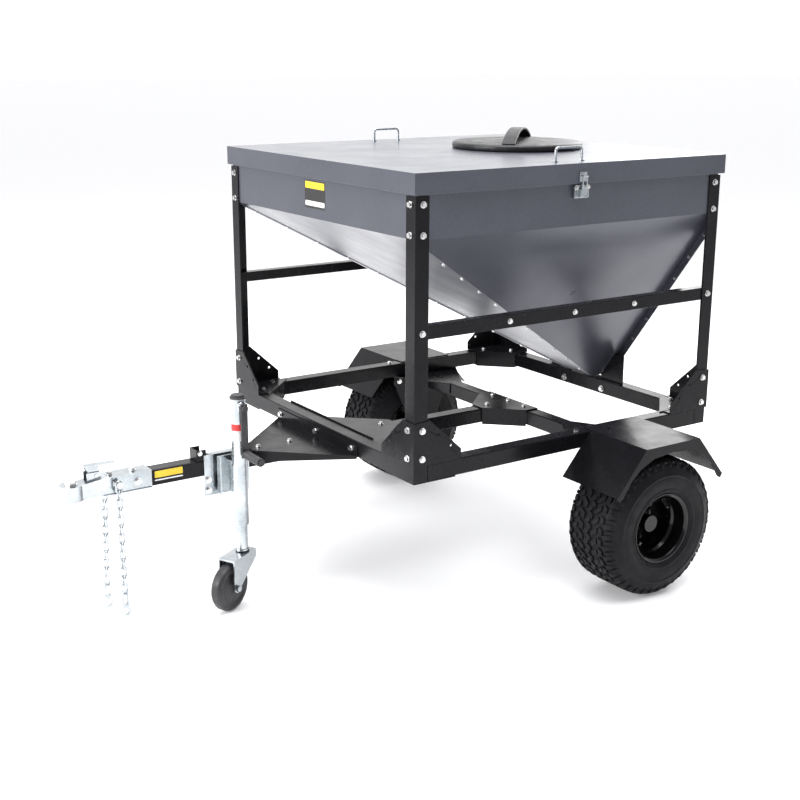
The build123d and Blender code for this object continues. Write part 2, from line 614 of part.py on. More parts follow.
with BuildPart() as p:
    rod((CN, 0, 456.5), (CN, 0, 459), 20)
    hexrod((CN, 0, 459), (CN, 0, 468), 30)
    for x in (1318, 1245):
        bolt((x, 0, ZB + 4.2), (0, 0, 1), 16, 7)
    for sy in (1, -1):
        bolt((1240, sy * 29.6, 438), (0, sy, 0), 16, 7)
        # chain bolt: nut against the channel, bare shank for the chain, head outside
        x0 = CHAIN_X[sy]
        hexrod((x0, sy * 29.6, 446), (x0, sy * 37, 446), 17)
        rod((x0, sy * 36, 446), (x0, sy * 54, 446), 5)
        hexrod((x0, sy * 53, 446), (x0, sy * 59, 446), 17)
    rod((1364, -19, 476), (1364, 19, 476), 4)
    for z in (366, 400):
        bolt((1010, TUBE / 2 + 5, z), (0, 1, 0), 15, 7)
    for z in (358, 470):
        bolt((888, TUBE / 2 + 5, z), (0, 1, 0), 15, 7)
    for x in (900, 992):
        bolt((x, 0, ZB + 5), (0, 0, 1), 15, 7)
    bolt((1033, TUBE / 2, 488), (0, 1, 0), 11, 5)
out(p, "tongue_bolts")

with BuildPart() as p:
    # lever: two cheeks, a top strap and a handle
    for sy in (1, -1):
        ya, yb = sorted((sy * 8.5, sy * 11.5))
        plate_xz([(1352, 470), (1352, 503), (1396, 505), (1384, 482), (1372, 469)], ya, yb)
        rod((1364, sy * 14, 476), (1364, sy * 7, 476), 4.06, Mode.SUBTRACT)
    plate_xz([(1300, 502), (1300, 506), (1396, 508), (1396, 504)], -11.5, 11.5)
out(p, "coupler_lever")

with BuildPart() as p:
    # clamp tongue that grips the underside of the ball
    plate_xz([(1356, 432), (1356, 418), (1404, 404), (1406, 410), (1372, 421), (1372, 432)], -14, 14)
    rod((1362, -16.5, 428), (1362, 16.5, 428), 4)
out(p, "ball_clamp")


def chain(y0, x0, ztop, n, pitch, lean):
    w, L, r = 8.5, 17.0, 3.2
    for k in range(n):
        zc = ztop - k * pitch
        xc = x0 + lean * k
        flip = (k + 1) % 2
        u = Vector(1, 0, 0) if flip else Vector(0, 1, 0)
        h = L - w
        for s in (1, -1):
            c = Vector(xc, y0, zc) + u * (s * w)
            rod(tuple(c - Vector(0, 0, h)), tuple(c + Vector(0, 0, h)), r)
        nrm = Vector(0, 0, 1).cross(u)
        for s in (1, -1):
            o = Vector(xc, y0, zc + s * h)
            pl = Plane(origin=tuple(o), x_dir=tuple(u), z_dir=tuple(nrm))
            yy = 1 if pl.y_dir.Z * s > 0 else -1
            with BuildLine(pl) as ln:
                ThreePointArc((w, 0), (0, yy * w), (-w, 0))
            with BuildSketch(Plane(origin=ln.line @ 0, z_dir=ln.line % 0)) as sk:
                Circle(r)
            sweep(sections=sk.sketch, path=ln.line)


CHAIN_Y, CHAIN_Z, PITCH, LINKS = 46.0, 437.4, 27.2, 13
for sy, side in SIDES:
    with BuildPart() as p:
        x0, lean = CHAIN_X[sy], 0.0 if sy > 0 else 0.8
        chain(sy * CHAIN_Y, x0, CHAIN_Z, LINKS, PITCH, lean)
        # clevis pin, cheeks and bowl of the slip hook on its last link
        zp = CHAIN_Z - (LINKS - 1) * PITCH - 10.0
        y = sy * CHAIN_Y
        xh = x0 + lean * (LINKS - 1)
        rod((xh - 9, y, zp), (xh + 9, y, zp), 3.5)
        slab(xh - 10, xh - 6, y - 5, y + 5, zp - 41, zp + 6)
        slab(xh + 6, xh + 10, y - 5, y + 5, zp - 41, zp + 6)
        slab(xh - 10, xh + 10, y - 5, y + 5, zp - 49, zp - 39)
        ring((xh, y - 4, zp - 64), (xh, y + 4, zp - 64), 17, 10)
        slab(xh + 4, xh + 22, y - 6, y + 6, zp - 62, zp - 50, Mode.SUBTRACT)
    out(p, side + "_safety_chain")

# small black upright on the tongue, with its bolt
with BuildPart() as p:
    slab(1012, 1044, -25.4, 25.4, ZB, ZB + 4)
    for sy in (1, -1):
        ya, yb = sorted((sy * 21.4, sy * 25.4))
        slab(1012, 1044, ya, yb, ZB, 497)
    slab(1040, 1044, -25.4, 25.4, ZB, 497)
out(p, "tongue_bracket")

# ======================= jack ============================================
with BuildPart() as p:
    slab(878, 1022, TUBE / 2, TUBE / 2 + 5, 348, 480)
    with BuildSketch(Plane(origin=(JX, TUBE / 2 + 5, JPZ), z_dir=(0, 1, 0))):
        Circle(40)
    extrude(amount=8)
    for z in (ZB + 5,):
        slab(884, 1008, -TUBE / 2 - 6, TUBE / 2 + 1, ZB, ZB + 5)
    slab(884, 1016, -TUBE / 2 - 6, TUBE / 2 + 1, TUBE_Z0 - 5, TUBE_Z0)
    slab(884, 1016, -TUBE / 2 - 6, -TUBE / 2 - 1, TUBE_Z0, ZB)
out(p, "jack_mount_plate")

with BuildPart() as p:
    # swivel plate, side cheeks and stub, welded to the outer column
    y0 = TUBE / 2 + 5 + 8 + 0.3
    with BuildSketch(Plane(origin=(JX, y0, JPZ), z_dir=(0, 1, 0))):
        Circle(44)
    extrude(amount=6)
    slab(JX - 50, JX + 50, y0 + 6, y0 + 11, 356, 476)
    for s in (1, -1):
        xa, xb = sorted((JX + s * 45, JX + s * 50))
        slab(xa, xb, y0 + 11, y0 + 26, 356, 476)
    for s in (1, -1):
        xa, xb = sorted((JX + s * 19, JX + s * 23.5))
        slab(xa, xb, y0 + 10, JY - 15.3, 366, 466)
out(p, "jack_swivel_plate")

with BuildPart() as p:
    # pull pin that locks the swivel
    rod((JX - 34, y0 + 11, 462), (JX - 34, y0 + 36, 462), 6)
    rod((JX - 34, y0 + 36, 462), (JX - 34, y0 + 42, 462), 9)
out(p, "swivel_pull_pin")

with BuildPart() as p:
    ring((JX, JY, 262), (JX, JY, 664), 24, 21.2)
    rod((JX, JY, 270), (JX, JY, 276), 24.9)
    rod((JX, JY, 260), (JX, JY, 280), 21.2, Mode.SUBTRACT)
    rod((JX, JY, 664), (JX, JY, 668), 24)
    # crank boss
    ring((JX, JY + 20, 645), (JX, JY + 34, 645), 13, 8.06)
    rod((JX, JY, 645), (JX, JY + 36, 645), 8.06, Mode.SUBTRACT)
out(p, "jack_outer_tube")

with BuildPart() as p:
    rod((JX, JY, 668), (JX, JY, 674), 25.2)
    rod((JX, JY, 674), (JX, JY, 680), 20)
out(p, "jack_cap")

with BuildPart() as p:
    rod((JX, JY + 10, 645), (JX, JY + 44, 645), 8.0)
    slab(JX - 11, JX + 11, JY + 37, JY + 43, 488, 657)
    rod((JX, JY + 43, 500), (JX, JY + 150, 500), 5)
    hexrod((JX, JY + 144, 500), (JX, JY + 151, 500), 16)
    hexrod((JX, JY + 43, 645), (JX, JY + 51, 645), 18)
out(p, "jack_crank")

with BuildPart() as p:
    ring((JX, JY + 46, 500), (JX, JY + 143, 500), 12.5, 5.3)
out(p, "crank_grip")

with BuildPart() as p:
    ring((JX, JY, 196), (JX, JY, 560), 19.0, 16.0)
    rod((JX, JY, 182), (JX, JY, 198), 19.0)
out(p, "jack_inner_tube")

ca, sa = cos(radians(CASTER_A)), sin(radians(CASTER_A))
WCX, WCY = JX + TRAIL * ca, JY + TRAIL * sa


def cpl(off):
    """Plane across the caster, its normal along the wheel axle, off mm from the middle."""
    return Plane(origin=(JX - sa * off, JY + ca * off, 0), x_dir=(ca, sa, 0), z_dir=(sa, -ca, 0))


with BuildPart() as p:
    # crown and two legs
    rod((JX, JY, 176), (JX, JY, 181.7), 22)
    with BuildSketch(cpl(31)):
        with BuildLine():
            Polyline((-30, 176), (TRAIL + 12, 168), (TRAIL + 12, 163), (-30, 165), close=True)
        make_face()
    extrude(amount=62)
    for s in (1, -1):
        with BuildSketch(cpl(31 if s > 0 else -27)):
            with BuildLine():
                Polyline((-30, 170), (TRAIL + 12, 165), (TRAIL + 14, 70), (TRAIL, 60), (TRAIL - 14, 70), (-30, 150), close=True)
            make_face()
        extrude(amount=4)
    for s in (1, -1):
        a = (WCX - sa * s * 33, WCY + ca * s * 33, CAST_R)
        b = (WCX - sa * s * 40, WCY + ca * s * 40, CAST_R)
        hexrod(a, b, 18)
    rod((WCX + sa * 38, WCY - ca * 38, CAST_R), (WCX - sa * 38, WCY + ca * 38, CAST_R), 6)
out(p, "caster_fork")

with BuildPart() as p:
    pl = Plane(origin=(WCX, WCY, CAST_R), x_dir=(ca, sa, 0), z_dir=(0, 0, 1))
    ax = Axis((WCX, WCY, CAST_R), (-sa, ca, 0))
    prof = [(6.08, -24), (18, -24), (18, -19), (50, -15), (62, -20), (71, -17), (76, -9), (76, 9), (71, 17), (62, 20), (50, 15), (18, 19), (18, 24), (6.08, 24)]
    with BuildSketch(pl):
        with BuildLine():
            Polyline(*prof, close=True)
        make_face()
    revolve(axis=ax)
out(p, "caster_wheel")
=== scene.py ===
import bpy, bmesh, json, math
from mathutils import Vector, Matrix


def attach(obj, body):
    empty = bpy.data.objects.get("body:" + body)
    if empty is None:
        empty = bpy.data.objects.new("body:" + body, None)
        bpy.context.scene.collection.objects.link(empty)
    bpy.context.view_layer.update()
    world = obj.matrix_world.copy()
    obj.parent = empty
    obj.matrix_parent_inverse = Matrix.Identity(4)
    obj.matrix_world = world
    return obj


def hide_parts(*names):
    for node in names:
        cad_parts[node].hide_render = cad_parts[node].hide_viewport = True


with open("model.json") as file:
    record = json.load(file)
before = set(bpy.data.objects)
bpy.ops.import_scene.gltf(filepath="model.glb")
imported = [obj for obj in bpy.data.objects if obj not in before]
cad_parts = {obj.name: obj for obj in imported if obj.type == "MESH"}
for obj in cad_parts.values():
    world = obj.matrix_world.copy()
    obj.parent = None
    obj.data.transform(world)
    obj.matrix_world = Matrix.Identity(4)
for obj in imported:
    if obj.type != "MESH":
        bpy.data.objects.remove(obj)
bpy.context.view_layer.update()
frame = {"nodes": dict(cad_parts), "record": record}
XC = 0.401
nodes = frame["nodes"]
sc = bpy.context.scene

# ---------------------------------------------------------------- camera
cam_d = bpy.data.cameras.new("camera")
cam_d.lens = 57.835
cam_d.sensor_width = 36.0
cam_d.sensor_fit = "HORIZONTAL"
cam_d.clip_end = 200
cam = bpy.data.objects.new("camera", cam_d)
sc.collection.objects.link(cam)
RT = Vector((-0.8313684, 0.5557110, 0.0034469)).normalized()
FW = Vector((-0.5363417, -0.8007365, -0.2667559)).normalized()
UP = RT.cross(FW).normalized()
m = Matrix.Identity(4)
for i in range(3):
    m[i][0], m[i][1], m[i][2] = RT[i], UP[i], -FW[i]
m.translation = Vector((2.62033 - XC, 3.50297, 1.70595))
cam.matrix_world = m
sc.camera = cam


# ---------------------------------------------------------------- materials
def N(nt, kind, **kw):
    n = nt.nodes.new(kind)
    for k, v in kw.items():
        setattr(n, k, v)
    return n


def finish_mat(name, c_lo, c_hi, scale, rough, metallic=0.0, bump=((900, 0.05, 0.0003),), spec=0.5,
               coat=0.0, coat_rough=0.1, ior=1.5, edge=None, edge_w=0.0012, spangle=0.0, dust=None, stretch=None, scratch=0.0):
    """Procedural finish: cloudy two-tone colour, varied roughness, layered bump, worn edges, dust in noise patches."""
    mt = bpy.data.materials.new(name)
    mt.use_nodes = True
    nt = mt.node_tree
    bs = nt.nodes["Principled BSDF"]
    L = nt.links.new
    tc = N(nt, "ShaderNodeTexCoord")
    vec = tc.outputs["Object"]
    if stretch:
        mp = N(nt, "ShaderNodeMapping")
        mp.inputs["Scale"].default_value = stretch
        L(vec, mp.inputs["Vector"])
        vec_s = mp.outputs["Vector"]
    else:
        vec_s = vec
    n1 = N(nt, "ShaderNodeTexNoise")
    n1.inputs["Scale"].default_value = scale
    n1.inputs["Detail"].default_value = 6
    n1.inputs["Roughness"].default_value = 0.62
    L(vec_s, n1.inputs["Vector"])
    r1 = N(nt, "ShaderNodeValToRGB")
    r1.color_ramp.elements[0].position = 0.36
    r1.color_ramp.elements[0].color = (*c_lo, 1)
    r1.color_ramp.elements[1].position = 0.66
    r1.color_ramp.elements[1].color = (*c_hi, 1)
    L(n1.outputs["Fac"], r1.inputs["Fac"])
    col = r1.outputs["Color"]
    # fine speckle in the pigment
    n2 = N(nt, "ShaderNodeTexNoise")
    n2.inputs["Scale"].default_value = scale * 55
    n2.inputs["Detail"].default_value = 2
    L(vec, n2.inputs["Vector"])
    mr = N(nt, "ShaderNodeMapRange")
    mr.inputs["From Min"].default_value = 0.3
    mr.inputs["From Max"].default_value = 0.7
    mr.inputs["To Min"].default_value = 0.94
    mr.inputs["To Max"].default_value = 1.06
    L(n2.outputs["Fac"], mr.inputs["Value"])
    mul = N(nt, "ShaderNodeVectorMath", operation="SCALE")
    L(col, mul.inputs[0])
    L(mr.outputs["Result"], mul.inputs["Scale"])
    col = mul.outputs["Vector"]
    if spangle:
        vo = N(nt, "ShaderNodeTexVoronoi")
        vo.inputs["Scale"].default_value = 260
        L(vec, vo.inputs["Vector"])
        sep = N(nt, "ShaderNodeSeparateColor")
        L(vo.outputs["Color"], sep.inputs["Color"])
        mr2 = N(nt, "ShaderNodeMapRange")
        mr2.inputs["To Min"].default_value = 1 - spangle
        mr2.inputs["To Max"].default_value = 1 + spangle
        L(sep.outputs["Red"], mr2.inputs["Value"])
        m2 = N(nt, "ShaderNodeVectorMath", operation="SCALE")
        L(col, m2.inputs[0])
        L(mr2.outputs["Result"], m2.inputs["Scale"])
        col = m2.outputs["Vector"]
    geo = N(nt, "ShaderNodeNewGeometry")
    if edge:
        bev = N(nt, "ShaderNodeBevel")
        bev.samples = 4
        bev.inputs["Radius"].default_value = edge_w
        dot = N(nt, "ShaderNodeVectorMath", operation="DOT_PRODUCT")
        L(bev.outputs["Normal"], dot.inputs[0])
        L(geo.outputs["Normal"], dot.inputs[1])
        me = N(nt, "ShaderNodeMapRange")
        me.inputs["From Min"].default_value = 0.985
        me.inputs["From Max"].default_value = 0.80
        me.inputs["To Min"].default_value = 0
        me.inputs["To Max"].default_value = 0.7
        L(dot.outputs["Value"], me.inputs["Value"])
        n4 = N(nt, "ShaderNodeTexNoise")
        n4.inputs["Scale"].default_value = 70
        n4.inputs["Detail"].default_value = 5
        L(vec, n4.inputs["Vector"])
        mm = N(nt, "ShaderNodeMath", operation="MULTIPLY")
        L(me.outputs["Result"], mm.inputs[0])
        L(n4.outputs["Fac"], mm.inputs[1])
        mx = N(nt, "ShaderNodeMix", data_type="RGBA")
        L(mm.outputs["Value"], mx.inputs["Factor"])
        L(col, mx.inputs["A"])
        mx.inputs["B"].default_value = (*edge, 1)
        col = mx.outputs["Result"]
    if dust:
        sp = N(nt, "ShaderNodeSeparateXYZ")
        L(geo.outputs["Normal"], sp.inputs["Vector"])
        n5 = N(nt, "ShaderNodeTexNoise")
        n5.inputs["Scale"].default_value = 9
        n5.inputs["Detail"].default_value = 8
        L(vec, n5.inputs["Vector"])
        md = N(nt, "ShaderNodeMapRange")
        md.inputs["From Min"].default_value = 0.45
        md.inputs["From Max"].default_value = 0.8
        md.inputs["To Min"].default_value = 0.0
        md.inputs["To Max"].default_value = dust[1]
        L(n5.outputs["Fac"], md.inputs["Value"])
        mx = N(nt, "ShaderNodeMix", data_type="RGBA")
        L(md.outputs["Result"], mx.inputs["Factor"])
        L(col, mx.inputs["A"])
        mx.inputs["B"].default_value = (*dust[0], 1)
        col = mx.outputs["Result"]
    L(col, bs.inputs["Base Color"])
    n3 = N(nt, "ShaderNodeTexNoise")
    n3.inputs["Scale"].default_value = scale * 2.3
    n3.inputs["Detail"].default_value = 7
    L(vec_s, n3.inputs["Vector"])
    rr = N(nt, "ShaderNodeMapRange")
    rr.inputs["From Min"].default_value = 0.3
    rr.inputs["From Max"].default_value = 0.7
    rr.inputs["To Min"].default_value = rough[0]
    rr.inputs["To Max"].default_value = rough[1]
    L(n3.outputs["Fac"], rr.inputs["Value"])
    L(rr.outputs["Result"], bs.inputs["Roughness"])
    bs.inputs["Metallic"].default_value = metallic
    bs.inputs["Specular IOR Level"].default_value = spec
    bs.inputs["IOR"].default_value = ior
    bs.inputs["Coat Weight"].default_value = coat
    bs.inputs["Coat Roughness"].default_value = coat_rough
    prev = None
    for sc_, st, di in bump:
        nb = N(nt, "ShaderNodeTexNoise")
        nb.inputs["Scale"].default_value = sc_
        nb.inputs["Detail"].default_value = 3
        L(vec_s if sc_ < 100 else vec, nb.inputs["Vector"])
        b = N(nt, "ShaderNodeBump")
        b.inputs["Strength"].default_value = st
        b.inputs["Distance"].default_value = di
        L(nb.outputs["Fac"], b.inputs["Height"])
        if prev:
            L(prev, b.inputs["Normal"])
        prev = b.outputs["Normal"]
    if scratch:
        wv = N(nt, "ShaderNodeTexNoise")
        wv.inputs["Scale"].default_value = 60
        mp2 = N(nt, "ShaderNodeMapping")
        mp2.inputs["Scale"].default_value = (1, 1, 14)
        mp2.inputs["Rotation"].default_value = (0.3, 0.5, 0.2)
        L(vec, mp2.inputs["Vector"])
        L(mp2.outputs["Vector"], wv.inputs["Vector"])
        b = N(nt, "ShaderNodeBump")
        b.inputs["Strength"].default_value = scratch
        b.inputs["Distance"].default_value = 0.0003
        L(wv.outputs["Fac"], b.inputs["Height"])
        if prev:
            L(prev, b.inputs["Normal"])
        prev = b.outputs["Normal"]
    L(prev, bs.inputs["Normal"])
    return mt


ORANGE = ((700, 0.05, 0.0003), (1500, 0.04, 0.0002))
M = {
    "hopper_grey": finish_mat("hopper_grey", (0.066, 0.070, 0.088), (0.078, 0.082, 0.102), 3.0, (0.27, 0.36), 0.30,
                              ORANGE + ((2.6, 0.07, 0.003),), 0.45, 0.18, 0.2, ior=1.5, edge=(0.15, 0.155, 0.18)),
    "frame_black": finish_mat("frame_black", (0.0045, 0.0042, 0.0052), (0.0085, 0.008, 0.0095), 7.0, (0.19, 0.30), 0.0,
                              ORANGE, 0.17, 0.05, 0.10, ior=1.45, edge=(0.022, 0.022, 0.024), dust=((0.012, 0.012, 0.013), 0.10)),
    "zinc": finish_mat("zinc", (0.36, 0.395, 0.415), (0.54, 0.57, 0.585), 9.0, (0.18, 0.32), 1.0,
                       ((160, 0.06, 0.0005), (900, 0.05, 0.0002)), 0.5, edge=(0.85, 0.87, 0.88), spangle=0.05, scratch=0.10),
    "bolt_zinc": finish_mat("bolt_zinc", (0.56, 0.56, 0.55), (0.80, 0.80, 0.79), 60.0, (0.18, 0.34), 1.0,
                            ((700, 0.08, 0.0002),), 0.5, edge=(0.9, 0.9, 0.9), edge_w=0.0006),
    "rim_black": finish_mat("rim_black", (0.0028, 0.0026, 0.003), (0.0052, 0.005, 0.0055), 11.0, (0.12, 0.22), 0.0,
                            ((300, 0.05, 0.0003),), 0.30, 0.12, 0.06, edge=(0.025, 0.025, 0.025)),
    "tyre_rubber": finish_mat("tyre_rubber", (0.0075, 0.007, 0.008), (0.013, 0.0125, 0.014), 16.0, (0.46, 0.66), 0.0,
                              ((520, 0.22, 0.0005), (60, 0.08, 0.001)), 0.13, dust=((0.024, 0.022, 0.022), 0.18), edge=(0.028, 0.027, 0.029), edge_w=0.0010),
    "caster_rubber": finish_mat("caster_rubber", (0.013, 0.013, 0.014), (0.028, 0.028, 0.03), 30.0, (0.40, 0.60), 0.0,
                                ((600, 0.15, 0.0003),), 0.5, edge=(0.06, 0.06, 0.06)),
    "cover_plastic": finish_mat("cover_plastic", (0.010, 0.010, 0.011), (0.019, 0.019, 0.020), 12.0, (0.30, 0.46), 0.0,
                                ((1100, 0.30, 0.0003), (40, 0.05, 0.001)), 0.34, edge=(0.05, 0.05, 0.052)),
    "grip_plastic": finish_mat("grip_plastic", (0.020, 0.020, 0.022), (0.040, 0.040, 0.043), 24.0, (0.38, 0.55), 0.0,
                               ((900, 0.22, 0.0003),), 0.5, edge=(0.09, 0.09, 0.09)),
    "machined_steel": finish_mat("machined_steel", (0.42, 0.41, 0.40), (0.60, 0.59, 0.57), 30.0, (0.22, 0.40), 1.0,
                                 ((500, 0.10, 0.0002),), 0.5, edge=(0.8, 0.8, 0.8), scratch=0.2),
    "gate_zinc": finish_mat("gate_zinc", (0.50, 0.52, 0.53), (0.70, 0.71, 0.72), 12.0, (0.30, 0.46), 1.0,
                            ((200, 0.10, 0.0003),), 0.5, spangle=0.16),
}
LABEL = {
    "yellow": finish_mat("label_yellow", (0.72, 0.50, 0.01), (0.82, 0.60, 0.03), 30.0, (0.30, 0.42), 0.0, ((800, 0.04, 0.0001),), 0.5, edge=(0.9, 0.8, 0.4)),
    "white": finish_mat("label_white", (0.70, 0.70, 0.69), (0.82, 0.82, 0.81), 30.0, (0.30, 0.42), 0.0, ((800, 0.04, 0.0001),), 0.5, edge=(0.9, 0.9, 0.9)),
    "black": finish_mat("label_black", (0.010, 0.010, 0.010), (0.018, 0.018, 0.018), 30.0, (0.28, 0.40), 0.0, ((800, 0.04, 0.0001),), 0.5, edge=(0.1, 0.1, 0.1)),
    "red": finish_mat("label_red", (0.55, 0.02, 0.02), (0.68, 0.04, 0.03), 30.0, (0.30, 0.42), 0.0, ((800, 0.04, 0.0001),), 0.5, edge=(0.8, 0.2, 0.2)),
}

slots = {s["node"]: s["material_slot"] for s in frame["record"]["subparts"]}
BEVEL = {
    "front_rail": 0.0035, "rear_rail": 0.0035, "left_rail": 0.0035, "right_rail": 0.0035, "tongue_tube": 0.0045, "axle_beam": 0.004,
    "lid": 0.0009, "front_posts": 0.0014, "rear_posts": 0.0014, "post_feet": 0.001, "fenders": 0.0012, "side_struts": 0.001,
    "corner_gussets": 0.001, "tongue_plates": 0.001, "axle_beam_gussets": 0.001, "axle_hangers": 0.001, "coupler_body": 0.0016,
    "coupler_lever": 0.0008, "jack_mount_plate": 0.0012, "jack_swivel_plate": 0.0012, "jack_crank": 0.001, "caster_fork": 0.001,
    "tongue_bracket": 0.0008, "hopper_rear_brackets": 0.0008, "latch_bases": 0.0012, "latch_keepers": 0.0008, "cover_handle": 0.002,
    "latch_lever_left": 0.0007, "latch_lever_right": 0.0007, "slide_gate": 0.0006, "discharge_spout": 0.0006, "gate_guides": 0.0006,
    "frame_bolts": 0.0006, "tongue_bolts": 0.0006, "hopper_bolts": 0.0005, "left_lug_nuts": 0.0006, "right_lug_nuts": 0.0006,
}
for name, o in nodes.items():
    mt = M["gate_zinc"] if name in ("slide_gate",) else M[slots[name]]
    o.data.materials.clear()
    o.data.materials.append(mt)
    w = o.modifiers.new("weld", "WELD")
    w.merge_threshold = 0.00001
    if name in BEVEL:
        b = o.modifiers.new("edges", "BEVEL")
        b.width = BEVEL[name]
        b.segments = 3 if name.endswith("rail") or name in ("tongue_tube", "axle_beam") else 2
        b.limit_method = "ANGLE"
        b.angle_limit = math.radians(38)
        b.use_clamp_overlap = True
        b.harden_normals = False
    wn = o.modifiers.new("normals", "WEIGHTED_NORMAL")
    wn.keep_sharp = True
    wn.weight = 60


def obj_from(name, bm, mat, body, smooth=True, angle=35):
    me = bpy.data.meshes.new(name)
    bmesh.ops.recalc_face_normals(bm, faces=bm.faces)
    bm.to_mesh(me)
    bm.free()
    for p in me.polygons:
        p.use_smooth = smooth
    o = bpy.data.objects.new(name, me)
    sc.collection.objects.link(o)
    me.materials.append(mat)
    if smooth:
        me.set_sharp_from_angle(angle=math.radians(angle))
    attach(o, body)
    return o


# ---------------------------------------------------------------- tyres with their knobs
WX, WZ = -0.198 - XC, 0.2286
OUTER = [(0.586, 0.1030), (0.5765, 0.145), (0.5775, 0.172), (0.5860, 0.200), (0.599, 0.221), (0.611, 0.2275), (0.646, 0.2286), (0.6905, 0.2286),
         (0.735, 0.2286), (0.770, 0.2275), (0.782, 0.221), (0.795, 0.200), (0.8035, 0.172), (0.8045, 0.145)]


def r_top(yo):
    """Outside radius of the knobs at a distance yo from the tyre's middle."""
    tab = [(0, 0.2286), (0.044, 0.2286), (0.079, 0.2275), (0.0915, 0.221), (0.1045, 0.200), (0.112, 0.172)]
    yo = abs(yo)
    for (a, ra), (b, rb) in zip(tab, tab[1:]):
        if yo <= b:
            return ra + (rb - ra) * (yo - a) / (b - a)
    return tab[-1][1]


def tyre(side, sy):
    bm = bmesh.new()
    yc = 0.6905
    # carcass profile (y, r): bead, side wall with two moulded rings, shoulder, crown
    half = [(0.0922, 0.1048), (0.0978, 0.1150), (0.1040, 0.1180), (0.1085, 0.126), (0.1100, 0.1275), (0.1112, 0.1285), (0.1112, 0.1325), (0.1100, 0.134), (0.1114, 0.142), (0.1122, 0.153),
            (0.1122, 0.166), (0.1106, 0.172), (0.1114, 0.1735), (0.1112, 0.1780), (0.1092, 0.180), (0.1052, 0.191), (0.0985, 0.203), (0.0905, 0.2125), (0.0800, 0.2190), (0.0640, 0.2212), (0.0400, 0.2218), (0.0, 0.2220)]
    outer = [(yc + y, r) for y, r in half] + [(yc - y, r) for y, r in reversed(half[:-1])]
    inner = [(yc - 0.0919, 0.1043), (yc - 0.0745, 0.1043), (yc - 0.0685, 0.117), (yc - 0.0805, 0.150), (yc - 0.0845, 0.185), (yc - 0.070, 0.208), (yc, 0.2125),
             (yc + 0.070, 0.208), (yc + 0.0845, 0.185), (yc + 0.0805, 0.150), (yc + 0.0685, 0.117), (yc + 0.0745, 0.1043), (yc + 0.0919, 0.1043)]
    prof = outer + inner
    SEG = 128
    rings = []
    for k in range(SEG):
        a = 2 * math.pi * k / SEG
        rings.append([bm.verts.new((WX + r * math.cos(a), sy * y, WZ + r * math.sin(a))) for y, r in prof])
    n = len(prof)
    for k in range(SEG):
        A, B = rings[k], rings[(k + 1) % SEG]
        for i in range(n):
            j = (i + 1) % n
            bm.faces.new((A[i], A[j], B[j], B[i]))

    def knob(y0, y1, a0, a1, skew=0.0, base=0.006, flare=0.12):
        ys = [y0 + (y1 - y0) * t for t in (0, 0.5, 1)]
        top, bot = [], []
        ym, am = (y0 + y1) / 2, (a0 + a1) / 2
        for y in ys:
            for a in (a0, a1):
                sk = skew * (y - ym)
                rt = r_top(y) - 0.0001
                yy, aa = ym + (y - ym) * 0.90, am + (a - am) * (1 - flare) + sk
                top.append(bm.verts.new((WX + rt * math.cos(aa), sy * (yc + yy), WZ + rt * math.sin(aa))))
                rb = rt - base - 0.003
                aa = am + (a - am) + sk
                bot.append(bm.verts.new((WX + rb * math.cos(aa), sy * (yc + y * 0.985), WZ + rb * math.sin(aa))))
        f = bm.faces.new
        for q in (0, 2):
            f((top[q], top[q + 1], top[q + 3], top[q + 2]))
            f((bot[q + 2], bot[q + 3], bot[q + 1], bot[q]))
            f((top[q], top[q + 2], bot[q + 2], bot[q]))
            f((top[q + 3], top[q + 1], bot[q + 1], bot[q + 3]))
        f((top[1], top[0], bot[0], bot[1]))
        f((top[4], top[5], bot[5], bot[4]))

    NB = 40
    st = 2 * math.pi / NB
    for k in range(NB):
        a = k * st
        # crown: two staggered centre rows, two intermediate rows, one shoulder row each side
        knob(-0.0135, 0.0075, a, a + st * 0.56, 2.2)
        knob(-0.0055, 0.0155, a + st * 0.52, a + st * 0.98, -2.2)
        knob(0.0205, 0.0435, a + st * 0.10, a + st * 0.66, 3.0)
        knob(-0.0420, -0.0190, a + st * 0.36, a + st * 0.92, -3.0)
        knob(0.0485, 0.0665, a + st * 0.42, a + st * 0.96, -1.8)
        knob(-0.0655, -0.0475, a + st * 0.02, a + st * 0.56, 1.8)
        knob(0.0700, 0.0935, a - st * 0.02, a + st * 0.50, 0.8)
        knob(-0.0935, -0.0700, a + st * 0.44, a + st * 0.96, -0.8)
        knob(0.0800, 0.1010, a + st * 0.56, a + st * 0.92, 0.0, 0.004)
        knob(-0.1010, -0.0800, a + st * 0.06, a + st * 0.40, 0.0, 0.004)
    o = obj_from(side + "_tyre_moulded", bm, M["tyre_rubber"], "wheel_" + side, True, 40)
    b = o.modifiers.new("soft", "BEVEL")
    b.width = 0.0007
    b.segments = 1
    b.limit_method = "ANGLE"
    b.angle_limit = math.radians(45)
    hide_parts(side + "_tyre")
    return o


